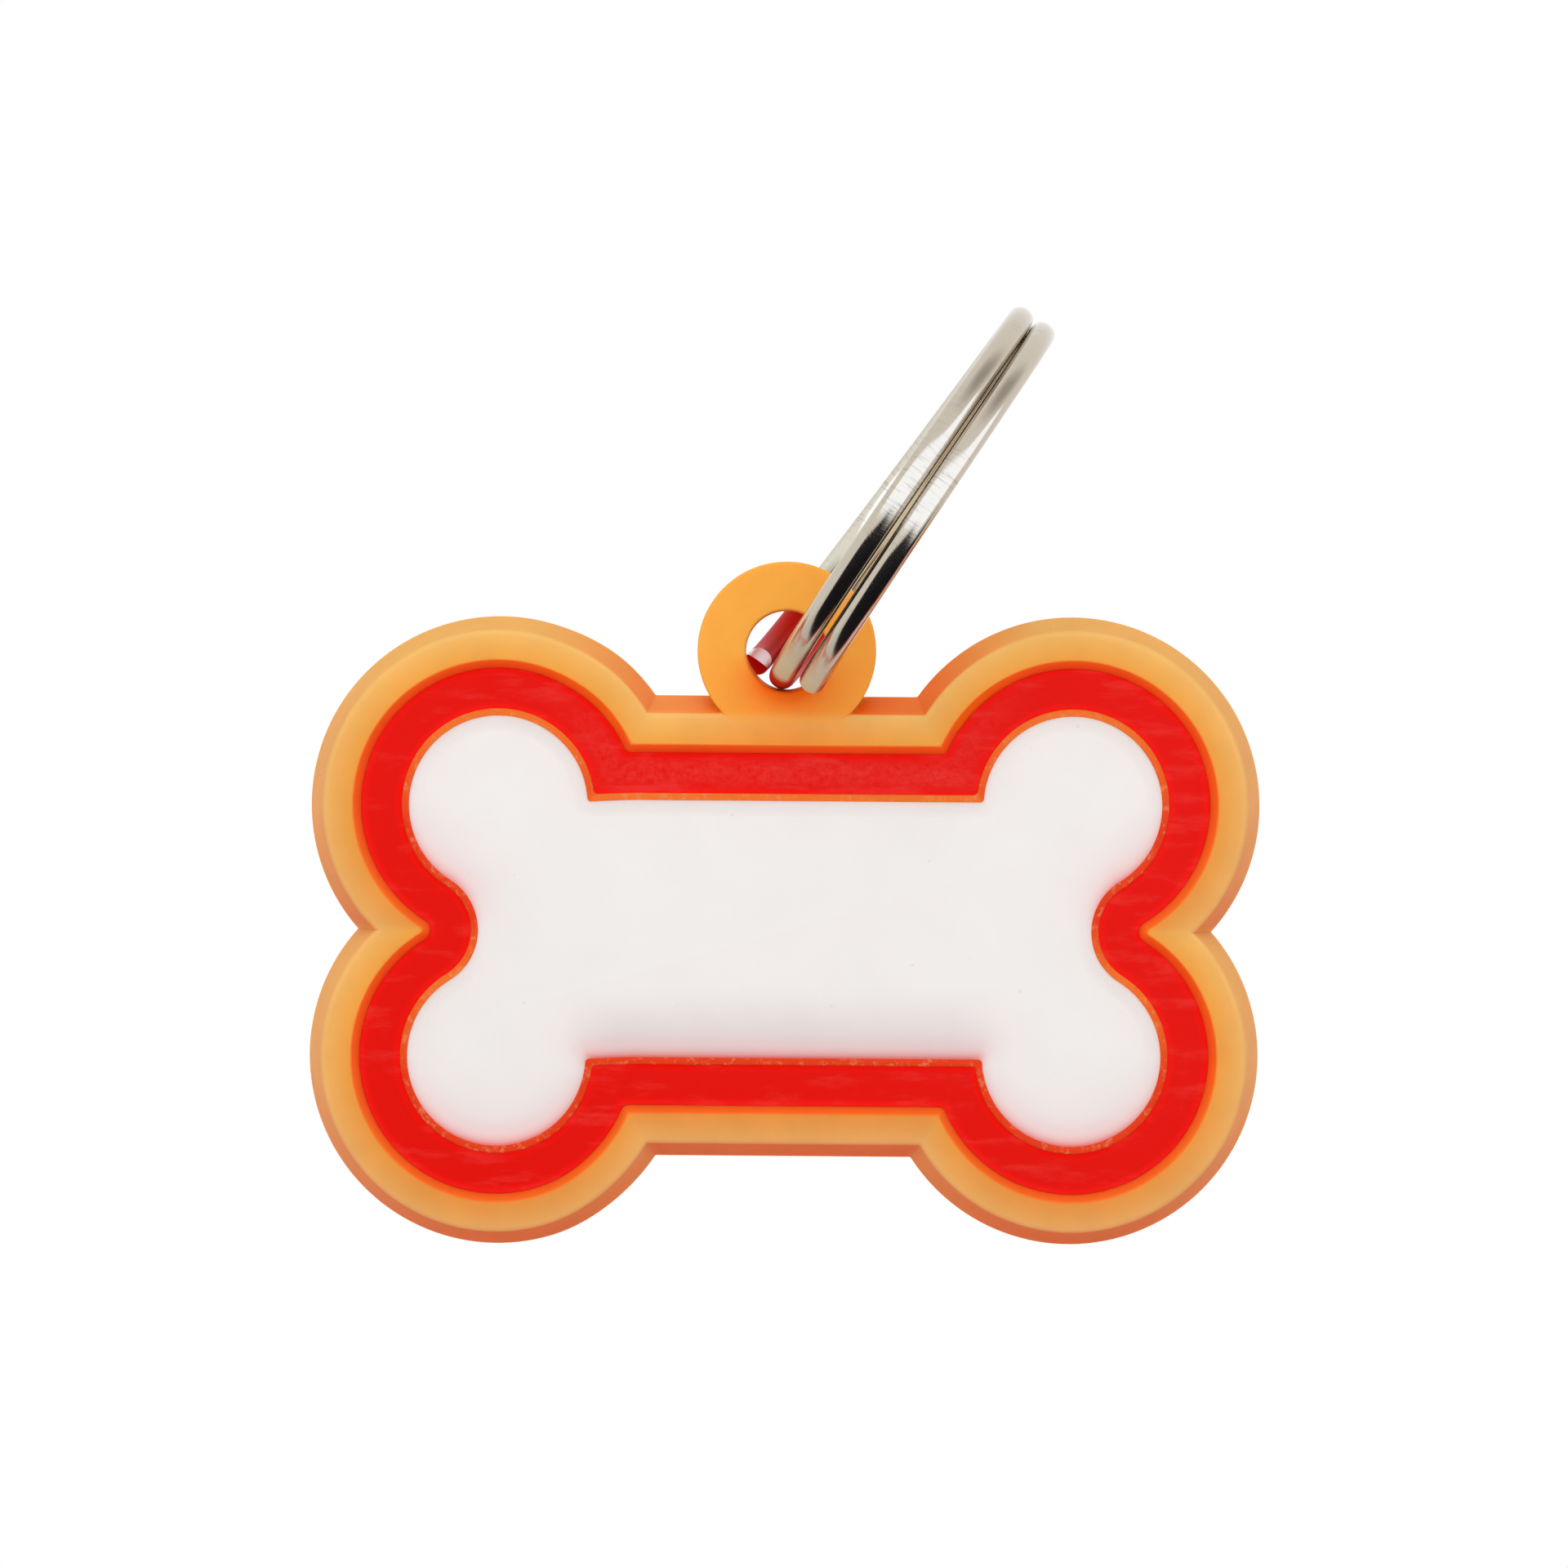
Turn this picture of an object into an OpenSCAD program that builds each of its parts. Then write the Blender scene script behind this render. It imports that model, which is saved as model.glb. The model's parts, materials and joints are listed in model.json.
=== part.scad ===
// Bone-shaped pet identity tag of moulded soft PVC on a sprung split ring.
// The tag hangs below the ring. Its face looks along -Y, +X is to its right and +Z is up.
// The origin is the point inside the far end of the ring where a collar's loop bears.

/* [Tag outline] */
// Distance between the centres of the left and right lobes
lobe_span = 32.2; // [28:0.1:38]
// Distance between the centres of the upper and lower lobes
lobe_rise = 14.1; // [13:0.1:15.4]
// Radius of the lobes of the white panel, from which every other outline is offset
lobe_r = 5; // [4.6:0.1:5.8]
// Height of the white panel between the lobes
bar_h = 14.4; // [13:0.1:17]
// Thickness of the tag, from its flat back to the face of the rim
body_t = 3; // [2.6:0.1:4]
// Distance by which the sloping outer wall spreads from the rim to the back
wall_draft = 0.95; // [0.3:0.05:1.2]

/* [Rim and divider] */
// Width of the flat face of the raised rim
rim_w = 1.55; // [1.1:0.05:2.4]
// Distance by which the rim's inner wall slopes outwards above the red band
rim_draft = 0.5; // [0.2:0.05:0.8]
// Radius of the rounded edges of the rim
rim_edge_r = 0.15; // [0.05:0.01:0.25]
// Radius of the rim's inner edge at the waist, where two lobes meet
waist_edge_r = 0.15; // [0.1:0.05:1]
// Width of the divider between the red band and the white panel
divider_w = 0.4; // [0.3:0.05:0.7]
// Depth of the divider's top below the face of the rim
divider_depth = 0.4; // [0.3:0.05:0.7]

/* [Coloured fills] */
// Width of the red band
band_w = 2.25; // [1.6:0.05:2.8]
// Depth of the red surface below the face of the rim
band_depth = 0.55; // [0.4:0.05:0.8]
// Depth of the white surface below the face of the rim
panel_depth = 0.9; // [0.5:0.05:1.1]
// Thickness of the coloured fills under the lower of the two surfaces
fill_t = 0.8; // [0.5:0.05:1.2]
// Parting clearance between a fill and the walls around it
fill_clear = 0.02; // [0:0.01:0.05]

/* [Eyelet] */
// Radius of the eyelet
eyelet_r = 5; // [4.4:0.1:5.6]
// Radius of the hole through the eyelet
hole_r = 2.3; // [2.2:0.05:2.8]
// Height of the hole's centre above the centre of the tag
hole_rise = 15.6; // [15.3:0.1:16.6]

/* [Split ring] */
// Outer diameter of the split ring
ring_d = 25.4; // [22:0.1:32]
// Width of the wire across the ring's radius
wire_h = 1.5; // [1.2:0.05:1.6]
// Thickness of the wire along the ring's axis
wire_t = 1.2; // [1:0.05:1.4]
// Radius of the wire's rounded corners
wire_edge_r = 0.45; // [0.2:0.05:0.5]
// Open gap between the two turns of wire
coil_gap = 0.45; // [0.42:0.01:0.6]
// Clearance between the wire and the wall of the hole
hole_play = 0.15; // [0.12:0.01:0.3]
// Distance in front of the tag's face at which the first end of the wire is cut
front_end_clear = 2.5; // [1:0.1:4]
// Distance behind the tag's back at which the second end of the wire is cut
back_end_clear = 0.5; // [0.4:0.1:2]
// Lean of the ring away from the tag's upright, seen from the front
ring_lean = 35; // [0:0.1:60]
// Side of the hole on which the wire lies, turned from the ring's lowest point
seat_turn = 26; // [10:1:35]

/* [Hidden] */
$fn = 96;

// Cuts run past the faces they open by this much
overrun = 0.2;

// Outlines, as distances outwards from the outline of the white panel
divider_out = divider_w;
band_out = divider_out + band_w;
rim_in = band_out + rim_draft;
rim_out = rim_in + rim_w;
back_out = rim_out + wall_draft;

// Heights above the back of the tag
band_top = body_t - band_depth;
panel_top = body_t - panel_depth;
divider_top = body_t - divider_depth;
floor_top = min(band_top, panel_top) - fill_t;

// Lobe centres, and the arc that rounds the waist between two lobes
lobe_x = lobe_span / 2;
lobe_y = lobe_rise / 2;
waist_r = rim_in + waist_edge_r;
waist_x = lobe_x + sqrt(pow(lobe_r + waist_r, 2) - pow(lobe_y, 2));

// The wire's centre line: a helix about the ring's axis, whose middle passes through the hole
coil_r = (ring_d - wire_h) / 2;
coil_pitch = wire_t + coil_gap;
seat_r = hole_r - hole_play - wire_edge_r;
wire_side = seat_r * sin(seat_turn) - (wire_t / 2 - wire_edge_r);
wire_drop = seat_r * cos(seat_turn) - (wire_h / 2 - wire_edge_r);
first_turn = asin((body_t / 2 + front_end_clear) / coil_r);
last_turn = 720 - asin((body_t / 2 + back_end_clear) / coil_r);
turn_step = 6;
corner_steps = 3;

// The hole's centre, seen from the origin: across the ring's bore and down its lean
hole_down = 2 * coil_r - wire_h / 2 - wire_drop;
hole_x = -hole_down * sin(ring_lean) - wire_side * cos(ring_lean);
hole_z = -hole_down * cos(ring_lean) + wire_side * sin(ring_lean);

// Points of a round edge of radius r that turns from a wall at distance d to a face at height z,
// where side is 1 for an outer edge and -1 for an inner one
edge_turns = [0, 30, 60, 90];
function round_edge(d, z, r, side) =
    [for (a = edge_turns) [d - side * r * (1 - cos(a)), z - r * (1 - sin(a))]];

// Steps [distance outwards, height] of each drafted shape, from back to front
blank_steps = concat([[back_out, 0]], round_edge(rim_out, body_t, rim_edge_r, 1));
recess_steps = concat([[band_out, floor_top], [band_out, band_top]],
    round_edge(rim_in - rim_edge_r, body_t, rim_edge_r, -1), [[rim_in, body_t + overrun]]);

function mirrored(steps) =
    [for (i = [len(steps) - 1 : -1 : 0]) [-steps[i][0], steps[i][1]]];

// A bone-shaped solid, lying on its back, whose outline follows the steps as it rises
module bone(steps) {
    last = len(steps) - 1;
    low = steps[0];
    high = steps[last];
    difference() {
        union() {
            translate([-lobe_x, 0, 0]) rotate([90, 0, 90]) linear_extrude(lobe_span)
                polygon(concat([for (s = steps) [bar_h / 2 + s[0], s[1]]],
                    [for (s = mirrored(steps)) [s[0] - bar_h / 2, s[1]]]));
            for (side = [-1, 1]) {
                for (rise = [-1, 1]) translate([side * lobe_x, rise * lobe_y, 0]) rotate_extrude()
                    polygon(concat([[0, low[1]]], [for (s = steps) [lobe_r + s[0], s[1]]],
                        [[0, high[1]]]));
                translate([0, 0, low[1]]) linear_extrude(high[1] - low[1])
                    polygon([[side * (lobe_x - lobe_r), 0], [side * lobe_x, lobe_y],
                        [side * waist_x, 0], [side * lobe_x, -lobe_y]]);
            }
        }
        if (waist_r > max([for (s = steps) s[0]])) for (side = [-1, 1])
            translate([side * waist_x, 0, 0]) rotate_extrude()
                polygon(concat([[0, low[1] - overrun], [waist_r - low[0], low[1] - overrun]],
                    [for (s = steps) [waist_r - s[0], s[1]]],
                    [[waist_r - high[0], high[1] + overrun], [0, high[1] + overrun]]));
    }
}

// Stands a shape that lies on its back upright below the ring
module hung() translate([hole_x, body_t / 2, hole_z - hole_rise]) rotate([90, 0, 0]) children();

module eyelet() translate([0, hole_rise, 0]) rotate_extrude()
    polygon(concat([[0, 0], [eyelet_r, 0]], round_edge(eyelet_r, body_t, rim_edge_r, 1), [[0, body_t]]));

module tag_body() color("#f0a14b") hung() difference() {
    union() {
        bone(blank_steps);
        eyelet();
    }
    difference() {
        bone(recess_steps);
        bone([[divider_out, floor_top - overrun], [divider_out, divider_top]]);
    }
    bone([[0, floor_top], [0, divider_top + overrun]]);
    translate([0, hole_rise, -overrun]) cylinder(h = body_t + 2 * overrun, r = hole_r);
}

module red_band() color("#e3241c") hung() difference() {
    bone([[band_out - fill_clear, floor_top], [band_out - fill_clear, band_top]]);
    bone([[divider_out + fill_clear, floor_top - overrun], [divider_out + fill_clear, band_top + overrun]]);
}

module id_panel() color("#eeeae7") hung()
    bone([[-fill_clear, floor_top], [-fill_clear, panel_top]]);

// Section of the wire, as [radial, axial] points round its rounded corners
section = [for (corner = [0 : 3], step = [0 : corner_steps])
    let (a = 90 * (corner + step / corner_steps),
        across = (corner == 0 || corner == 3) ? 1 : -1,
        along = corner < 2 ? 1 : -1)
    [across * (wire_h / 2 - wire_edge_r) + wire_edge_r * cos(a),
        along * (wire_t / 2 - wire_edge_r) + wire_edge_r * sin(a)]];

// Turns at which the section is placed: even steps, so that each turn lies square over the last,
// and one shorter step at the end
turns = [for (turn = [first_turn : turn_step : last_turn - turn_step / 2]) turn, last_turn];
function level_at(turn) = coil_pitch * (1 - turn / 360);

// A ring of section points at one turn, about the ring's own axis, which lies along X here
function section_at(turn) = [for (p = section)
    [level_at(turn) + p[1], -(coil_r + p[0]) * sin(turn), -(coil_r + p[0]) * cos(turn)]];

coil_points = [for (turn = turns) each section_at(turn)];
coil_steps = len(turns) - 1;
sides = len(section);
coil_faces = concat(
    [for (k = [1 : sides - 2]) [0, k, k + 1]],
    [for (i = [0 : coil_steps - 1], k = [0 : sides - 1], half = [0, 1])
        let (a = i * sides + k, b = i * sides + (k + 1) % sides)
        half == 0 ? [a, a + sides, b] : [b, a + sides, b + sides]],
    [for (k = [1 : sides - 2]) let (o = coil_steps * sides) [o, o + k + 1, o + k]]);

module split_ring() color("#c9c2b4") rotate([0, ring_lean, 0])
    translate([0, 0, wire_h / 2 - coil_r]) polyhedron(coil_points, coil_faces);

// Least gap between the wire and its own next turn, measured from each point of the first turn
// to the points of the second that lie over it or one step to either side
one_turn = 360 / turn_step;
least_gap = min([for (i = [0 : coil_steps - one_turn - 1], j = [-1 : 1], k = [0 : sides - 1],
    m = [0 : sides - 1]) norm(coil_points[i * sides + k] - coil_points[(i + one_turn + j) * sides + m])]);
echo(least_gap_between_turns = least_gap);
echo(hole_centre = [hole_x, 0, hole_z]);

tag_body();
red_band();
id_panel();
split_ring();
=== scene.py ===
import json
import math

import bmesh
import bpy
from mathutils import Matrix, Vector


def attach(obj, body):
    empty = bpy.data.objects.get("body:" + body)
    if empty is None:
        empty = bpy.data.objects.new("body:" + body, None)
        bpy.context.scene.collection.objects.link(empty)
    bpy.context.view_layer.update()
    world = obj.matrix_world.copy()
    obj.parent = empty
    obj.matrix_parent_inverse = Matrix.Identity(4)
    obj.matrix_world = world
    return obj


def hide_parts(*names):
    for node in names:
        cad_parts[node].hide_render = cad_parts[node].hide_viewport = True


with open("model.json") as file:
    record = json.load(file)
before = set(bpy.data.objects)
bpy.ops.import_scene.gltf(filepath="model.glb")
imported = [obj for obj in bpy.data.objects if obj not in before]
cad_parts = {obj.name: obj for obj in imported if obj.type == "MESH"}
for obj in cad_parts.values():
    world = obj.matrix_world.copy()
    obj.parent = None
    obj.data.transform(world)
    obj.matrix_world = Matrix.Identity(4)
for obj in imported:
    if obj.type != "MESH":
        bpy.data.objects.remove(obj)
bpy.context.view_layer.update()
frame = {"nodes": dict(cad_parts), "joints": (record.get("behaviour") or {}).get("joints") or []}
print("frame loaded:", ", ".join(frame["nodes"]))

mm = 0.001
swing = frame["joints"][0]
holeCentre = Vector(swing["pos_m"]) / mm  # the eyelet's hole in mm, which places all of the tag
tagDrop = 15.6                            # mm from the hole's centre down to the tag's centre
tagCentre = Vector((holeCentre.x, 0, holeCentre.z - tagDrop))


def rise(value, start, end):
    # 0 at start to 1 at end, level beyond them
    return min(max((value - start) / (end - start), 0), 1)


def linearColour(code):
    # sRGB hex to the linear RGBA that Blender's sockets take
    parts = [int(code[i:i + 2], 16) / 255 for i in (1, 3, 5)]
    return [p / 12.92 if p <= 0.04045 else ((p + 0.055) / 1.055) ** 2.4 for p in parts] + [1]


def addNode(tree, kind, feeds=None, stops=None, **settings):
    # feeds: socket name or number to a value or to another node's output; stops: colour ramp
    node = tree.nodes.new(kind)
    for name, value in settings.items():
        setattr(node, name, value)
    for socket, value in (feeds or {}).items():
        if isinstance(value, bpy.types.NodeSocket):
            tree.links.new(value, node.inputs[socket])
        else:
            node.inputs[socket].default_value = value
    if stops:
        steps = node.color_ramp.elements
        while len(steps) < len(stops):
            steps.new(1)
        for step, (place, code) in zip(steps, stops):
            step.position = place
            step.color = linearColour(code)
    return node


def layerColours(tree, base, layers):
    # Each layer is (share, colour); a share of None multiplies by the colour instead of covering
    for share, colour in layers:
        if share is None:
            base = addNode(tree, "ShaderNodeVectorMath", {0: base, 1: colour},
                           operation="MULTIPLY").outputs[0]
        else:
            base = addNode(tree, "ShaderNodeMix", {"Factor": share, 6: base, 7: colour},
                           data_type="RGBA").outputs[2]
    return base


def mottle(tree, place, noise, low, high, least=0, most=1):
    # From noise: least where it is under low, most where it is over high
    noise = addNode(tree, "ShaderNodeTexNoise", {"Vector": place, **noise})
    return addNode(tree, "ShaderNodeMapRange", {
        "Value": noise.outputs["Fac"], "From Min": low, "From Max": high,
        "To Min": least, "To Max": most}).outputs[0]


def startMaterial(name, surface):
    material = bpy.data.materials.new(name)
    material.use_nodes = True
    shader = material.node_tree.nodes["Principled BSDF"]
    for socket, value in surface.items():
        shader.inputs[socket].default_value = value
    return material, material.node_tree, shader


def startPvc(name, surface):
    # All three shots are soft PVC, with patterns laid out in mm
    material, tree, shader = startMaterial(name, {"IOR": 1.53, **surface})
    place = addNode(tree, "ShaderNodeTexCoord")
    inMm = addNode(tree, "ShaderNodeMapping", {"Vector": place.outputs["Object"],
                                               "Scale": (1000, 1000, 1000)})
    return material, tree, shader, inMm.outputs[0]


def finishPvc(tree, shader, base, inMm, noise, strength, depth):
    # Colour and the fine grain of the skin, whose depth is in mm
    tree.links.new(base, shader.inputs["Base Color"])
    grain = addNode(tree, "ShaderNodeTexNoise", {"Vector": inMm, **noise})
    bump = addNode(tree, "ShaderNodeBump", {"Strength": strength, "Distance": depth * mm,
                                            "Height": grain.outputs["Fac"]})
    tree.links.new(bump.outputs[0], shader.inputs["Normal"])


def newObject(name, data):
    thing = bpy.data.objects.new(name, data)
    bpy.context.scene.collection.objects.link(thing)
    return thing


# Camera: a long lens square on to the tag's face, rolled a little, because the photographed tag
# hangs slightly clockwise
cameraSet = {
    "distance": 350.0,       # mm in front of the rim's face
    "lens": 143.7,           # mm on the sensor, so that 1 mm is 21.9 px of the 1920 px frame
    "sensor": 36.0,
    "roll": 0.45,            # degrees
    "acrossFromTag": -0.10,  # mm from the tag's centre to the camera's axis
    "aboveTag": 8.154,
    "rimFace": -1.5,
}


def buildCamera():
    s = cameraSet
    lens = bpy.data.cameras.new("lookingAtFace")
    lens.lens, lens.sensor_width = s["lens"], s["sensor"]
    lens.clip_start, lens.clip_end = 0.01, 5
    camera = newObject("lookingAtFace", lens)
    camera.location = (tagCentre + Vector((s["acrossFromTag"], s["rimFace"] - s["distance"],
                                           s["aboveTag"]))) * mm
    camera.rotation_euler = (math.radians(90), -math.radians(s["roll"]), 0)
    bpy.context.scene.camera = camera


buildCamera()
bpy.context.scene.view_settings.view_transform = "Standard"
print("camera set")

# Studio: white surroundings, one soft key light from above and in front, a pale floor far below,
# and around them the cards that only the ring's plating mirrors
studio = {
    "ambient": 0.79,                      # world strength for all but the rays that show it
    "keyPlace": (-30.0, -190.0, 110.0),   # mm
    "keySize": 220.0,
    "keyLevel": 0.32,                     # light it adds on a surface that faces it
    "floorLevel": -165.0,
    "floorRadius": 400.0,
    "floorFade": (160.0, 380.0),          # from the middle, over which the paint turns to light
}
cards = {
    # Colour, strength, share of the way in from the edge over which it fades in, and corners in
    # mm of a fan, the first of them its middle
    "softbox": ("#e0eafc", 2.15, 0.12, [
        (-2, -161, 14), (-136, -65, 45), (-123, -59, 72), (-104, -66, 91), (-58, -109, 94),
        (17, -136, 75), (75, -124, 55), (113, -89, 50), (137, -38, 45), (144, -12, 35),
        (148, -12, 7), (144, -30, -26), (128, -62, -57), (105, -78, -87), (86, -85, -104),
        (-24, -159, -36), (-86, -139, -3)]),
    "greyCard": ("#bcb8b8", 1.0, 0.85, [
        (104, -56, 148), (136, 57, 114), (162, 68, 63), (174, 60, 29), (185, 18, 21),
        (176, -61, 40), (110, -134, 87), (11, -134, 139), (-55, -71, 167), (-67, -10, 174),
        (-42, 18, 180), (12, 27, 184), (82, 39, 163)]),
    "darkFelt": ("#1d1c22", 1.0, 0.12, [
        (-10, -67, -142), (-14, -148, -33), (56, -112, -86), (96, -60, -108), (125, -16, -78),
        (102, 28, -105), (45, 62, -135), (-125, -30, -111), (-121, -107, -43),
        (-105, -126, -24)]),
}


def buildWorld():
    world = bpy.data.worlds.new("whiteStudio")
    bpy.context.scene.world = world
    world.use_nodes = True
    tree = world.node_tree
    tree.nodes.clear()
    path = addNode(tree, "ShaderNodeLightPath")
    shows = path.outputs["Is Camera Ray"]
    for ray in ("Is Glossy Ray", "Is Transmission Ray"):
        shows = addNode(tree, "ShaderNodeMath", {0: shows, 1: path.outputs[ray]},
                        operation="ADD", use_clamp=True).outputs[0]
    level = addNode(tree, "ShaderNodeMix", {"Factor": shows, 2: studio["ambient"], 3: 1.0},
                    data_type="FLOAT")
    sky = addNode(tree, "ShaderNodeBackground", {"Color": (1, 1, 1, 1),
                                                 "Strength": level.outputs[0]})
    addNode(tree, "ShaderNodeOutputWorld", {"Surface": sky.outputs[0]})


def buildKey():
    away = (Vector(studio["keyPlace"]) - tagCentre) * mm
    lamp = bpy.data.lights.new("softKey", "AREA")
    lamp.size = studio["keySize"] * mm
    lamp.energy = studio["keyLevel"] * math.pi ** 2 * away.length_squared
    key = newObject("softKey", lamp)
    key.location = Vector(studio["keyPlace"]) * mm
    key.rotation_euler = away.to_track_quat("Z", "Y").to_euler()
    key.visible_glossy = False


def buildFloor():
    # Matt paint that turns to white light further out, so no edge shows against the surroundings
    shape = bmesh.new()
    bmesh.ops.create_circle(shape, cap_ends=True, segments=96, radius=studio["floorRadius"] * mm)
    bmesh.ops.translate(shape, verts=shape.verts,
                        vec=Vector((holeCentre.x, 0, studio["floorLevel"])) * mm)
    mesh = bpy.data.meshes.new("paleFloor")
    shape.to_mesh(mesh)
    shape.free()
    paint, tree, shader = startMaterial("mattWhitePaint", {
        "Base Color": linearColour("#f4f4f3"), "Roughness": 0.8})
    place = addNode(tree, "ShaderNodeTexCoord")
    flat = addNode(tree, "ShaderNodeVectorMath", {0: place.outputs["Object"], 1: (1, 1, 0)},
                   operation="MULTIPLY")
    far = addNode(tree, "ShaderNodeVectorMath", {0: flat.outputs[0]}, operation="LENGTH")
    near, beyond = studio["floorFade"]
    fade = addNode(tree, "ShaderNodeMapRange", {"Value": far.outputs["Value"],
                                                "From Min": near * mm, "From Max": beyond * mm})
    glow = addNode(tree, "ShaderNodeEmission", {"Color": (1, 1, 1, 1)})
    blend = addNode(tree, "ShaderNodeMixShader", {0: fade.outputs[0], 1: shader.outputs[0],
                                                  2: glow.outputs[0]})
    tree.links.new(blend.outputs[0], tree.nodes["Material Output"].inputs["Surface"])
    mesh.materials.append(paint)
    newObject("paleFloor", mesh)


def buildCard(name, colour, strength, fade, corners):
    mesh = bpy.data.meshes.new(name)
    last = len(corners) - 1
    mesh.from_pydata([Vector(c) * mm for c in corners], [],
                     [(0, i, i % last + 1) for i in range(1, last + 1)])
    core = mesh.attributes.new("core", "FLOAT", "POINT")
    core.data.foreach_set("value", [1.0] + [0.0] * last)
    cloth = bpy.data.materials.new(name)
    cloth.use_nodes = True
    tree = cloth.node_tree
    tree.nodes.clear()
    glow = addNode(tree, "ShaderNodeEmission", {"Color": linearColour(colour),
                                                "Strength": strength})
    core = addNode(tree, "ShaderNodeAttribute", attribute_name="core")
    share = addNode(tree, "ShaderNodeMapRange", {"Value": core.outputs["Fac"], "From Max": fade},
                    interpolation_type="SMOOTHSTEP")
    clear = addNode(tree, "ShaderNodeBsdfTransparent")
    blend = addNode(tree, "ShaderNodeMixShader", {0: share.outputs[0], 1: clear.outputs[0],
                                                  2: glow.outputs[0]})
    addNode(tree, "ShaderNodeOutputMaterial", {"Surface": blend.outputs[0]})
    mesh.materials.append(cloth)
    card = newObject(name, mesh)
    card.visible_camera = card.visible_diffuse = card.visible_shadow = False
    card.visible_transmission = card.visible_volume_scatter = False


buildWorld()
buildKey()
buildFloor()
for cardName, cardLook in cards.items():
    buildCard(cardName, *cardLook)
print("studio set")

# Bone outline in mm: every edge on the tag is an offset of the white panel's outline
outline = {
    "lobeSpan": 32.2,      # between the centres of the left and right lobes
    "lobeRise": 14.1,      # between the centres of the upper and lower lobes
    "lobeRadius": 5.0,
    "barHeight": 14.4,
    "waistRadius": 3.3,    # of the fillet between two lobes
    "innerCorner": 0.22,   # radius where the bar meets a lobe, on the white panel's edge,
    "corners": [(0.0, 0.22), (0.4, 0.26), (2.65, 0.46), (3.15, 0.5), (4.7, 0.18),
                (5.65, 0.16)],  # and by offset further out
    "topLift": 0.15,       # of the rim under the eyelet, and of each mm of wall outside it
    "liftFrom": 3.3,       # offsets between which the rim's lift grows
    "liftTo": 4.7,
    "droop": 0.18,         # by which the left lobes hang lower,
    "droopFrom": 8.0,      # growing between these distances from the tag's middle
    "droopTo": 13.0,
    "barSteps": 22,
    "cornerSteps": 6,
    "lobeSteps": 72,
    "waistSteps": 18,
}
lobeX, lobeY = outline["lobeSpan"] / 2, outline["lobeRise"] / 2
waistX = lobeX + math.sqrt((outline["lobeRadius"] + outline["waistRadius"]) ** 2 - lobeY ** 2)
waistTurn = math.atan2(lobeY, lobeX - waistX)  # from the waist's centre to the lobe's


def arc(centre, radius, first, last, steps):
    turns = [first + (last - first) * i / steps for i in range(steps + 1)]
    return [(centre[0] + radius * math.cos(t), centre[1] + radius * math.sin(t)) for t in turns]


def halfLoop(outward, corner, lift):
    # The upper right quarter at that offset, with the same number of points at every offset
    radius, barTop = outline["lobeRadius"] + outward, outline["barHeight"] / 2 + outward + lift
    cornerY = barTop + corner
    cornerX = lobeX - math.sqrt((radius + corner) ** 2 - (cornerY - lobeY) ** 2)
    toLobe = math.atan2(lobeY - cornerY, lobeX - cornerX)
    waist = max(outline["waistRadius"] - outward, 0)
    lobeEnd = waistTurn - math.pi if waist > 0 else -math.asin(lobeY / radius)
    steps = outline["barSteps"]
    points = [(cornerX * i / steps, barTop) for i in range(steps)]
    points += arc((cornerX, cornerY), corner, -math.pi / 2, toLobe, outline["cornerSteps"])
    points += arc((lobeX, lobeY), radius, toLobe + math.pi, lobeEnd, outline["lobeSteps"])[1:]
    if waist > 0:
        points += arc((waistX, 0), waist, waistTurn, math.pi, outline["waistSteps"])[1:]
    else:
        points += [points[-1]] * outline["waistSteps"]
    return points


def boneLoop(outward, corner):
    # One closed loop; on the bar under the eyelet the rim and the wall reach a little higher
    low, high = outline["liftFrom"], outline["liftTo"]
    lift = outline["topLift"] * (rise(outward, low, high) + max(outward - high, 0))
    lower = [(x, -y) for x, y in halfLoop(outward, corner, 0)[-2::-1]]
    half = halfLoop(outward, corner, lift) + lower
    return half + [(-x, y) for x, y in half[-2:0:-1]]


def cornerAt(outward):
    # Radius of the corner between the bar and a lobe at an offset
    stops = outline["corners"]
    for (low, first), (high, last) in zip(stops, stops[1:]):
        if outward <= high:
            return first + (last - first) * max(outward - low, 0) / (high - low)
    return stops[-1][1]


def droopAt(x):
    # The tag is soft: the photographed one's left lobes hang a little lower
    share = rise(-x, outline["droopFrom"], outline["droopTo"])
    return -outline["droop"] * share * share * (3 - 2 * share)


def outwardAt(x, y):
    # Offset of the outline through a point: 0 on the white panel's edge, above 0 outside it
    x, y = abs(x), abs(y)
    offset = math.hypot(x - lobeX, y - lobeY) - outline["lobeRadius"]
    bySide = y * (waistX - lobeX) < lobeY * (waistX - x)
    waist = outline["waistRadius"] - math.hypot(waistX - x, y) if bySide else -99
    if x > lobeX:
        return waist if bySide else offset
    corner = outline["innerCorner"]
    cornerY = outline["barHeight"] / 2 + corner
    cornerX = lobeX - math.sqrt((outline["lobeRadius"] + corner) ** 2 - (cornerY - lobeY) ** 2)
    if x > cornerX and (cornerY - y) * (lobeX - cornerX) > (cornerY - lobeY) * (x - cornerX):
        offset = corner - math.hypot(x - cornerX, y - cornerY)
    else:
        offset = min(offset, y - outline["barHeight"] / 2)
    return max(offset, waist)


def upwardAt(x, y, step=0.4):
    # How far a wall at that point looks up: -1 to 1
    return (outwardAt(x, y + step) - outwardAt(x, y - step)) / (2 * step)


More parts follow.
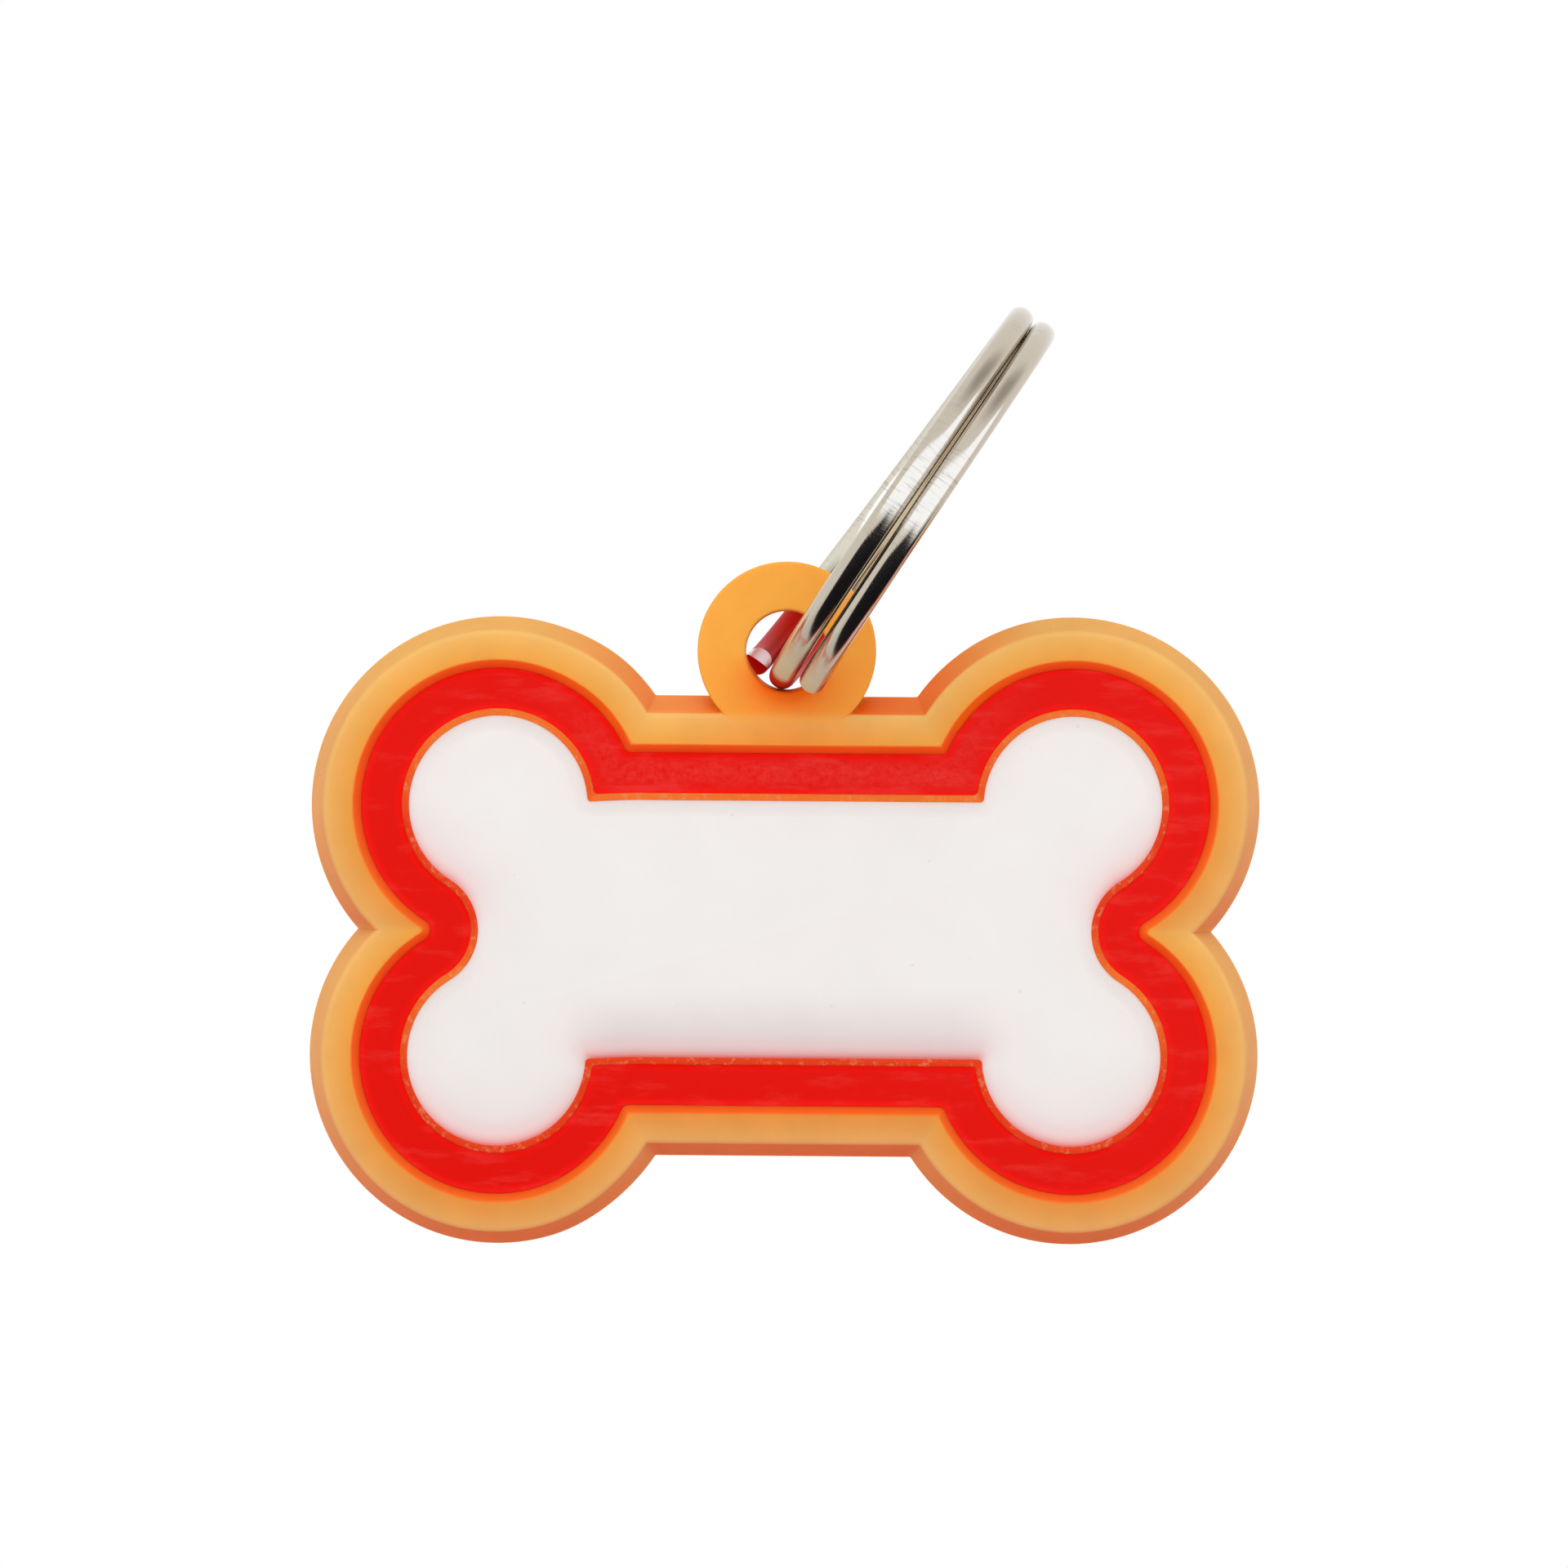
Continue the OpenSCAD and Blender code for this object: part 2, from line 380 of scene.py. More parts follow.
def profilePath(corners, closed, hold=0.03, longest=0.3):
    # Points along a section: corners are (outward, height, radius), and each straight run starts
    # and ends with a short step, which keeps flat faces flat when they are shaded smooth
    path, count = [], len(corners)
    for i, (x, z, radius) in enumerate(corners):
        here = Vector((x, z))
        if radius == 0 or (not closed and i in (0, count - 1)):
            path.append([here])
            continue
        before = (Vector(corners[i - 1][:2]) - here).normalized()
        after = (Vector(corners[(i + 1) % count][:2]) - here).normalized()
        half = before.angle(after) / 2
        centre = here + (before + after).normalized() * radius / math.sin(half)
        start = here + before * radius / math.tan(half) - centre
        sweep = start.angle_signed(here + after * radius / math.tan(half) - centre)
        steps = max(2, math.ceil(abs(sweep) / math.radians(15)))
        path.append([centre + Matrix.Rotation(-sweep * k / steps, 2) @ start
                     for k in range(steps + 1)])
    points = []
    for i, run in enumerate(path):
        points += run
        if i == count - 1 and not closed:
            break
        start, end = run[-1], path[(i + 1) % count][0]
        length = (end - start).length
        if length > 3 * hold:
            cuts = max(1, math.ceil(length / longest))
            along = [hold] + [length * k / cuts for k in range(1, cuts)] + [length - hold]
            points += [start.lerp(end, a / length) for a in along]
    return points


def skinLoops(loops, closed):
    # Quads between loops of equal length; an open stack is capped at both ends
    shape = bmesh.new()
    rows = [[shape.verts.new(p) for p in loop] for loop in loops]
    pairs = list(zip(rows, rows[1:])) + ([(rows[-1], rows[0])] if closed else [])
    for low, high in pairs:
        for i in range(len(low)):
            shape.faces.new((low[i - 1], low[i], high[i], high[i - 1]))
    if not closed:
        shape.faces.new(rows[0])
        shape.faces.new(rows[-1])
    bmesh.ops.remove_doubles(shape, verts=shape.verts, dist=1e-5)
    bmesh.ops.recalc_face_normals(shape, faces=shape.faces)
    mesh = bpy.data.meshes.new("loops")
    shape.to_mesh(mesh)
    shape.free()
    return mesh


def moulded(corners, closed, radiusAt=cornerAt):
    # A bone-shaped solid whose section is the profile; heights are measured from the tag's back
    loops = [[(x, y, height) for x, y in boneLoop(outward, radiusAt(outward))]
             for outward, height in profilePath(corners, closed)]
    return skinLoops(loops, closed)


thickness = 3.0  # mm from the back to the rim's face
tagPlace = (Matrix.Translation(Vector((tagCentre.x, thickness / 2, tagCentre.z)))
            @ Matrix.Rotation(math.radians(90), 4, "X"))


def finishPiece(name, mesh, body, nodes, material, place, sharpest=28):
    # Shades the mesh, puts it where the frame says and lets it ride on its body
    mesh.name = name
    if body == "tag":
        for v in mesh.vertices:
            v.co.y += droopAt(v.co.x)
    mesh.transform(Matrix.Scale(mm, 4) @ place)
    mesh.polygons.foreach_set("use_smooth", [True] * len(mesh.polygons))
    mesh.set_sharp_from_angle(angle=math.radians(sharpest))
    mesh.materials.clear()
    mesh.materials.append(material)
    piece = newObject(name, mesh)
    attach(piece, body)
    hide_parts(*nodes)
    return piece


def paintAttribute(mesh, name, valueAt):
    values = mesh.attributes.new(name, "FLOAT", "POINT")
    values.data.foreach_set("value", [valueAt(*v.co) for v in mesh.vertices])


# Orange body: rim, divider, eyelet and flat back in one moulding
bodySizes = {
    "backOut": 5.65,       # outline of the back
    "rimOut": 4.7,         # outer edge of the rim's face
    "rimIn": 3.15,         # inner edge of the rim's face
    "bandOut": 2.65,       # wall round the red band
    "bandTop": 2.44,       # where that wall starts to slope
    "divider": 0.4,        # outer edge of the divider
    "dividerTop": 2.6,
    "recessFloor": 1.3,
    "backIn": 2.7,         # innermost points of the back,
    "floorIn": -1.5,       # and of the floor under the white
    "rimRound": 0.3,
    "innerRound": 0.12,
    "bandRound": 0.05,
    "dividerRound": 0.09,
    "backRound": 0.08,
}
eyeletSizes = {
    "radius": 5.0,
    "hole": 2.3,
    "edgeRound": 0.2,
    "holeRound": 0.16,
    "backRound": 0.08,
    "holeBackRound": 0.1,
    "raised": 0.02,        # its back above the tag's back
    "proud": 0.012,        # a trace of the cavity's joint shows on the rim's face
    "draft": 0.2,          # by which the hole's lower half narrows to the back, clear of the wire
    "mergeFrom": 11.3,     # heights above the tag's middle between which the rim turns to eyelet
    "mergeTo": 12.2,
    "segments": 128,
}
orangeLook = {
    # Face colour by offset in mm: towards the red band the inner wall and the rim turn redder, as
    # painted red bounce light off the band
    "face": [(0.4, "#ff5216"), (2.6, "#ff5216"), (3.04, "#ff6e22"), (3.2, "#f1a748"),
             (3.8, "#f0b056"), (4.4, "#f0b964"), (4.7, "#f0be70")],   # by offset in mm
    # Painted light and shade, by how far the wall looks up, from -1 to 1
    "divider": [(-0.2, "#f23e12"), (0.8, "#ff8c32")],
    "outerWall": [(-1.0, "#e35d0a"), (0.0, "#efa057"), (0.8, "#edaa50")],
    "innerWallShading": [(-0.5, "#f8ffff"), (0.5, "#ffd6d0")],
    "rimFaceShading": [(-1.0, "#f5e6f0"), (0.0, "#fbf6f8"), (1.0, "#ffffff")],
    "eyelet": "#fdb349",
    "back": "#f0a24c",
    "paintedShade": "#f86c00",     # painted shade, a deeper orange round the hole and on the bar's upper wall
    "glint": "#f4a674",    # painted highlights: pale glints dashed along the divider's top
    "speck": "#a5431c",
    "roughness": 0.48,
}
# Painted shade: shares of a deeper orange where the ring, the eyelet and the bar's corners shade
# the body
paintedShadeShares = {
    "eyelet": 0.06,
    "right": 0.10,         # more on the eyelet's right
    "low": 0.22,           # more on its lower half,
    "underHole": 1.05,     # and most just under the hole
    "hole": 0.9,           # its wall
    "barLeft": 0.55,       # bar's upper wall beside the eyelet
    "barRight": 0.85,
    "barEnds": (14.0, 8.5),     # distances from the middle at which that starts and is whole
    "barCorner": 0.35,     # more where the wall meets the eyelet,
    "cornerSpan": (3.6, 0.6),   # from this distance on, over these mm
    "rim": 0.30,           # on the rim under the eyelet
    "rimSpread": 20.0,     # mm2
}


def orangePvc():
    # Soft PVC cast in a polished mould: satin, slightly translucent; painted on it are red bounce
    # light beside the red fill, shade round the hole and on the bar's upper wall, and light and
    # shade by which way each wall faces
    look = orangeLook
    material, tree, shader, inMm = startPvc("castSoftPvcOrange", {
        "Roughness": look["roughness"], "Subsurface Weight": 0.5,
        "Subsurface Radius": (1.0, 0.3, 0.12), "Subsurface Scale": 0.9 * mm,
        "Specular IOR Level": 0.06})
    split = addNode(tree, "ShaderNodeSeparateXYZ", {0: inMm})
    value = {name: addNode(tree, "ShaderNodeAttribute", attribute_name=name).outputs["Fac"]
             for name in ("outward", "upward", "eyelet", "paintedShade")}
    value["depth"] = split.outputs["Y"]   # mm from the tag's middle plane towards its back

    colour = {}
    for name, source, low, high in (
            ("face", "outward", 0, 6), ("divider", "upward", -1, 1), ("outerWall", "upward", -1, 1),
            ("innerWallShading", "upward", -1, 1), ("rimFaceShading", "upward", -1, 1)):
        reach = addNode(tree, "ShaderNodeMapRange", {"Value": value[source],
                                                     "From Min": low, "From Max": high})
        colour[name] = addNode(tree, "ShaderNodeValToRGB", {"Fac": reach.outputs[0]}, stops=[
            ((at - low) / (high - low), code) for at, code in look[name]]).outputs["Color"]

    share = {}
    for name, source, start, end in (
            ("below", "depth", -1.46, -1.08),    # from just under the rim's face downwards
            ("outside", "outward", 3.6, 4.2),
            ("back", "depth", 1.3, 1.42)):
        share[name] = addNode(tree, "ShaderNodeMapRange", {
            "Value": value[source], "From Min": start, "From Max": end}).outputs[0]
    for name, source, limit, operation in (
            ("divider", "outward", 1.0, "LESS_THAN"), ("rim", "outward", 3.1, "GREATER_THAN"),
            ("front", "depth", 0.0, "LESS_THAN")):
        share[name] = addNode(tree, "ShaderNodeMath", {0: value[source], 1: limit},
                              operation=operation).outputs[0]
    # Painted highlights as glints on the divider's top, then a random drift in tone and dust specks
    share["glint"] = mottle(tree, inMm, {"Scale": 2.4, "Detail": 3.0, "Roughness": 0.7},
                            0.54, 0.66, 0, 0.36)
    share["drift"] = mottle(tree, inMm, {"Scale": 0.45, "Detail": 3.0}, 0.3, 0.7, 0.965, 1.03)
    share["dust"] = mottle(tree, inMm, {"Scale": 2.6, "Detail": 1.0}, 0.83, 0.85)
    for name, first, second in (("outerWall", "below", "outside"), ("glint", "glint", "divider"),
                                ("glint", "glint", "front")):
        share[name] = addNode(tree, "ShaderNodeMath", {0: share[first], 1: share[second]},
                              operation="MULTIPLY").outputs[0]

    # Painted light and shade: the divider, the walls and the rim lighter or darker by which way
    # they face; then the deeper orange of painted shade and the glints as painted highlights
    wallAndRimShading = layerColours(tree, colour["innerWallShading"], [(share["rim"], colour["rimFaceShading"])])
    base = layerColours(tree, colour["face"], [
        (share["divider"], colour["divider"]), (None, wallAndRimShading),
        (value["eyelet"], linearColour(look["eyelet"])),
        (share["outerWall"], colour["outerWall"]),
        (value["paintedShade"], linearColour(look["paintedShade"])), (share["back"], linearColour(look["back"])),
        (share["glint"], linearColour(look["glint"])), (None, share["drift"]),
        (share["dust"], linearColour(look["speck"]))])
    finishPvc(tree, shader, base, inMm, {"Scale": 7.0, "Detail": 4.0}, 0.06, 0.06)
    return material


def eyeletAt(x, y, z):
    # 1 on the eyelet above the rim of the bar, 0 on the bone
    e = eyeletSizes
    reach = math.hypot(x, y - tagDrop) - e["radius"]
    return rise(y, e["mergeFrom"], e["mergeTo"]) * rise(reach, 0.1, 0)


def paintedShadeAt(x, y, z):
    # Share of the painted shade's deeper colour: round the hole, most at its bottom, and on the
    # bar's upper wall
    e, s = eyeletSizes, paintedShadeShares
    reach = math.hypot(x, y - tagDrop)
    aside, above = x / reach, (y - tagDrop) / reach
    low, near = max(-above, 0), max(reach - e["hole"], 0)
    onEyelet = eyeletAt(x, y, z)
    paintedShade = onEyelet * (s["eyelet"] + s["right"] * max(aside, 0) + s["low"] * low
                       + s["underHole"] * low * math.exp(-near))
    if reach < e["hole"] + 0.4 and z < thickness - 0.2:
        paintedShade = s["hole"]
    onBar = onEyelet < 0.5 and y > e["mergeFrom"] and abs(x) < s["barEnds"][0]
    if onBar and z < thickness - 0.1:
        start, reach = s["cornerSpan"]
        corner = s["barCorner"] * math.exp(-max(abs(x) - start, 0) / reach)
        paintedShade = rise(abs(x), *s["barEnds"]) * (s["barRight" if x > 0 else "barLeft"] + corner)
    elif onBar or abs(y - e["mergeFrom"]) <= 0.9 and onEyelet < 1:
        paintedShade = max(paintedShade, s["rim"] * math.exp(-x * x / s["rimSpread"]))
    return min(paintedShade, 1)


def castEyelet():
    # A ring of the rim's height; its hole is drafted in its lower half only
    e = eyeletSizes
    front, back = thickness + e["proud"], e["raised"]
    section = profilePath([
        (e["hole"], back, e["holeBackRound"]), (e["radius"], back, e["backRound"]),
        (e["radius"], front, e["edgeRound"]), (e["hole"], front, e["holeRound"])], True)
    turns = [2 * math.pi * i / e["segments"] for i in range(e["segments"])]
    loops = []
    for r, z in section:
        draft = e["draft"] * (1 - z / thickness) if r < e["hole"] + 0.3 else 0
        reaches = [r - draft * rise(math.sin(t), 0, -0.5) for t in turns]
        loops.append([(reach * math.cos(t), reach * math.sin(t) + tagDrop, z)
                      for reach, t in zip(reaches, turns)])
    return newObject("eyeletCast", skinLoops(loops, True))


def buildBody():
    # Only the profile's straight parts hold the heights, so the fills can lie in their recesses
    s, floor = bodySizes, bodySizes["recessFloor"]
    mesh = moulded([
        (s["backIn"], 0, 0), (s["backOut"], 0, s["backRound"]),
        (s["rimOut"], thickness, s["rimRound"]), (s["rimIn"], thickness, s["innerRound"]),
        (s["bandOut"], s["bandTop"], s["bandRound"]), (s["bandOut"], floor, 0),
        (s["divider"], floor, 0), (s["divider"], s["dividerTop"], s["dividerRound"]),
        (0, s["dividerTop"], s["dividerRound"]), (0, floor, 0), (s["floorIn"], floor, 0)], False)
    body, eyelet = newObject("bodyCast", mesh), castEyelet()
    join = body.modifiers.new("eyeletJoin", "BOOLEAN")
    join.operation, join.solver, join.object = "UNION", "EXACT", eyelet
    seen = body.evaluated_get(bpy.context.evaluated_depsgraph_get())
    whole = bpy.data.meshes.new_from_object(seen)
    bpy.data.objects.remove(body)
    bpy.data.objects.remove(eyelet)
    paintAttribute(whole, "outward", lambda x, y, z: outwardAt(x, y))
    paintAttribute(whole, "upward", lambda x, y, z: upwardAt(x, y))
    paintAttribute(whole, "eyelet", eyeletAt)
    paintAttribute(whole, "paintedShade", paintedShadeAt)
    return finishPiece("orangeBody", whole, "tag", ["tag_body"], orangePvc(),
                       tagPlace)


bodyPiece = buildBody()
print("orange body built:", len(bodyPiece.data.polygons), "faces")

# Red band: poured between the rim and the divider, so its surface climbs a little at both walls
redSizes = {
    "outer": 2.66,         # 0.01 into the walls on both sides
    "inner": 0.39,
    "surface": 2.45,
    "climb": 0.06,         # height of the meniscus
    "climbWidth": 0.22,
    "climbRound": 0.5,     # of the curve at its foot
    "under": 1.32,         # just above the recess's floor
}
redLook = {
    "face": "#e40e04",
    # The edge colour is painted light: a brighter, deeper red along both walls, lifting the shade
    # at their feet and standing for red light bounced between them
    "edge": "#f00f03",
    "flowAndHighlight": "#f0564e",
    "streak": 0.3,         # most of the flow colour all over,
    "barHighlight": 0.32,       # and a painted highlight band on the bar under the eyelet
    "barEnds": (14.0, 9.0),     # distances from the middle at which that starts and is whole
    "roughness": 0.42,
}


def redPvc():
    # Poured PVC: glossier than the body, with faint pale flow marks along the pour, a painted
    # highlight band on the bar under the eyelet and painted light at both walls
    look = redLook
    material, tree, shader, inMm = startPvc("pouredPvcRed", {
        "Roughness": look["roughness"], "Subsurface Weight": 0.08,
        "Subsurface Radius": (0.8, 0.12, 0.08), "Subsurface Scale": 0.5 * mm,
        "Specular IOR Level": 0.04})
    outward = addNode(tree, "ShaderNodeAttribute", attribute_name="outward")
    across = addNode(tree, "ShaderNodeMapRange", {"Value": outward.outputs["Fac"],
                                                  "From Min": 0.4, "From Max": 2.65})
    # Brighter edge colour at both walls: painted light
    face = addNode(tree, "ShaderNodeValToRGB", {"Fac": across.outputs[0]}, stops=[
        (0.0, look["edge"]), (0.07, look["edge"]), (0.2, look["face"]),
        (0.8, look["face"]), (0.93, look["edge"]), (1.0, look["edge"])])
    middle = addNode(tree, "ShaderNodeValToRGB", {"Fac": across.outputs[0]}, stops=[
        (0.08, "#000000"), (0.35, "#ffffff"), (0.7, "#ffffff"), (0.92, "#000000")])
    marks = []
    for stretch, noise, low, high, most in (
            ((0.35, 1, 1.6), {"Scale": 0.8, "Detail": 6.0, "Roughness": 0.65},
             0.52, 0.75, look["streak"]),
            ((2.2, 1, 2.6), {"Scale": 1.0, "Detail": 5.0, "Roughness": 0.7},
             0.35, 0.7, look["barHighlight"])):
        spread = addNode(tree, "ShaderNodeMapping", {"Vector": inMm, "Scale": stretch})
        marks.append(mottle(tree, spread.outputs[0], noise, low, high, 0, most))
    # Flow marks all over, plus the painted highlight band on the bar under the eyelet
    onBar = addNode(tree, "ShaderNodeAttribute", attribute_name="topBar")
    pale = addNode(tree, "ShaderNodeMath", {0: marks[1], 1: middle.outputs["Color"]},
                   operation="MULTIPLY")
    flowAndHighlight = addNode(tree, "ShaderNodeMath", {0: onBar.outputs["Fac"], 1: pale.outputs[0],
                                            2: marks[0]}, operation="MULTIPLY_ADD")
    base = layerColours(tree, face.outputs["Color"], [
        (flowAndHighlight.outputs[0], linearColour(look["flowAndHighlight"]))])
    finishPvc(tree, shader, base, inMm, {"Scale": 3.0, "Detail": 5.0}, 0.08, 0.08)
    return material


def buildRed():
    s = redSizes
    high = s["surface"] + s["climb"]
    mesh = moulded([
        (s["outer"], s["under"], 0), (s["outer"], high, 0),
        (s["outer"] - s["climbWidth"], s["surface"], s["climbRound"]),
        (s["inner"] + s["climbWidth"], s["surface"], s["climbRound"]), (s["inner"], high, 0),
        (s["inner"], s["under"], 0)], True)
    paintAttribute(mesh, "outward", lambda x, y, z: outwardAt(x, y))
    # Where the painted highlight band lies, on the bar under the eyelet
    paintAttribute(mesh, "topBar", lambda x, y, z: rise(abs(x), *redLook["barEnds"]) * (y > 0))
    return finishPiece("redFill", mesh, "tag", ["red_band"], redPvc(), tagPlace)


redPiece = buildRed()
print("red band built:", len(redPiece.data.polygons), "faces")

# White panel: poured inside the divider
whiteSizes = {
    "edge": 0.01,          # into the divider
    "surface": 2.1,
    "climb": 0.28,
    "climbWidth": 0.6,
    "climbRound": 1.2,
    "under": 1.32,
    "floorIn": -1.5,       # how far the underside reaches in
    "rows": (0.95, 1.15, 1.4, 1.7, 2.1, 2.6, 3.2, 3.9),  # of points on the flat, from the edge
}
whiteLook = {
    "face": "#eeeae7",
    "redBounce": "#e37b78",    # painted red bounce light off the divider's wall
    "bounceNear": (0.70, 0.3),   # share at the edge, and mm over which it fades
    "bounceFar": (0.42, 1.2),
    "bounceSides": 0.09,    # share of it where the wall doesn't face the light
    "lowShade": 0.11,           # of painted shade above the lower bar, and the mm over which it fades
    "lowShadeWidth": 3.9,
    "lowShadeEnds": (12.5, 9.5),     # distances from the middle at which it starts and is whole
    "pale": 0.22,          # of painted light along the upper edges, and the mm over which it fades
    "paleWidth": 0.35,
    "speck": "#b9aaa4",
    "roughness": 0.45,
}


def whitePvc():
    # Poured white PVC with a soft satin skin; painted red bounce light at the edges, painted shade
    # above the lower bar and painted light along the upper edges
    look = whiteLook
    material, tree, shader, inMm = startPvc("pouredPvcWhite", {
        "Roughness": look["roughness"], "Subsurface Weight": 0.1,
        "Subsurface Radius": (1.0, 0.8, 0.7), "Subsurface Scale": 0.6 * mm,
        "Specular IOR Level": 0.3})
    redBounce, shade = (addNode(tree, "ShaderNodeAttribute", attribute_name=name).outputs["Fac"]
                    for name in ("redBounce", "shade"))
    clouds = mottle(tree, inMm, {"Scale": 0.3, "Detail": 3.0}, 0.3, 0.7, 0.985, 1.01)
    dust = mottle(tree, inMm, {"Scale": 2.2, "Detail": 1.0}, 0.79, 0.83, 0, 0.25)
    base = layerColours(tree, linearColour(look["face"]), [
        (redBounce, linearColour(look["redBounce"])), (None, clouds), (None, shade),
        (dust, linearColour(look["speck"]))])
    finishPvc(tree, shader, base, inMm, {"Scale": 1.2, "Detail": 4.0}, 0.05, 0.08)
    return material


def redBounceAt(x, y, z):
    # Painted red bounce light: strongest where the wall beside the white faces up, as above the
    # lower bar
    look = whiteLook
    faces = look["bounceSides"] + (1 - look["bounceSides"]) * max(0, -upwardAt(x, y))
    inside = min(outwardAt(x, y), 0)
    return faces * sum(share * math.exp(inside / reach)
                       for share, reach in (look["bounceNear"], look["bounceFar"]))


def shadeAt(x, y, z):
    # Painted shade towards the lower edges and painted light along the upper ones
    look, inside, up = whiteLook, min(outwardAt(x, y), 0), upwardAt(x, y)
    lowShade = max(1 - (inside / look["lowShadeWidth"]) ** 2, 0) ** 1.2
    lowShade *= rise(abs(x), *look["lowShadeEnds"]) * (y < 0)
    return (1 - look["lowShade"] * max(-up, 0) * lowShade
            + look["pale"] * max(up, 0) * math.exp(inside / look["paleWidth"]))


def buildWhite():
    s = whiteSizes
    mesh = moulded([
        (s["floorIn"], s["under"], 0), (s["edge"], s["under"], 0),
        (s["edge"], s["surface"] + s["climb"], 0),
        (s["edge"] - s["climbWidth"], s["surface"], s["climbRound"])]
        + [(-row, s["surface"], 0) for row in s["rows"]], False,
        lambda outward: outline["innerCorner"] + max(-outward, 0))
    paintAttribute(mesh, "redBounce", redBounceAt)
    paintAttribute(mesh, "shade", shadeAt)
    return finishPiece("whitePanel", mesh, "tag", ["id_panel"], whitePvc(), tagPlace)


whitePiece = buildWhite()
print("white panel built:", len(whitePiece.data.polygons), "faces")

# Split ring: one wire wound 1.92 turns, cut at both ends beside the eyelet
ringEnds = (19.6, 710.4)       # degrees of turn from the lowest point to the front and back cuts
ringSizes = {
    "Turns": (ringEnds[1] - ringEnds[0]) / 360,
    "First Turn": ringEnds[0] / 360,
    "Coil Radius": 11.95,      # mm to the wire's centre line
    "Pitch": 1.56,             # from one turn to the next, halfway up the ring
    "Pitch Swell": 0.10,       # more at the bottom, where the tag holds the turns apart
    "Wire Height": 1.52,       # across the ring's radius
    "Wire Thickness": 1.42,    # along the ring's axis, so that the turns nearly touch
    "Corner Radius": 0.65,
    "Corner Points": 6,        # on each rounded corner
    "Steps Per Turn": 120,
    "End Length": 0.35,        # of the wedge that the cutter leaves
    "End Share": 0.14,         # of the wire's height that is left at the wedge's ridge
    "End Spring": 0.3,         # by which the last end springs outwards,
    "Spring From": 1.83,       # between these turns
    "Spring To": 1.974,
}
ringPose = {
    "lean": 35.0,              # degrees to the right
    "farWire": 0.75,           # mm from the origin up to the far end's wire centre line
    "sharpest": 35,            # degrees between faces that are still shaded as one
}
nickelLook = {
    "plating": "#c8beae",
    "inside": "#dcd6c6",   # the plating is paler inside the ring,
    "between": "#a58c64",  # and tan on the front turn's inner side: painted shade between the turns
    "scratch": "#9b9080",
    "paleTips": "#cfcdac",   # painted reflection: dull beige on the ends, where they lie in the eyelet
    "redReflection": "#bc1200",    # painted reflection of the tag's red on the wire in the hole and behind it
    "cut": "#fafcfc",      # bare sheared steel
    "roughness": 0.13,
    "scuffTurn": 0.257,    # the place along each turn, seen from the front, where the scuffs lie
}
nickelSpans = {
    # What is read, where a share starts and ends rising, and what it rises to. Turn is counted
    # from the lowest point, part is the share of the turn, out and side are mm from the wire's
    # middle, away is the share of a turn from the scuffs, and scuff and patch are noise
    "inner": ("out", -0.25, -0.6, 1),
    "first": ("turn", 1.2, 1.05, 1),
    # The next seven place the painted reflections: pale on the ends, and the tag's red in the hole,
    # behind it and on the ends' flanks and undersides
    "paleTips": ("part", 0.112, 0.075, 1),
    "flank": ("side", 0.66, 0.45, 1),
    "behind": ("part", 0.865, 0.88, 1),
    "facing": ("out", 0.45, 0.25, 1),
    "tip": ("part", 0.092, 0.066, 1),
    "under": ("part", 0.046, 0.034, 1),
    "last": ("turn", 1.966, 1.971, 1),
    "zone": ("away", 0.06, 0.02, 0.6),
    "worn": ("patch", 0.5, 0.7, 0.5),
    "marks": ("scuff", 0.52, 0.68, 1),
}


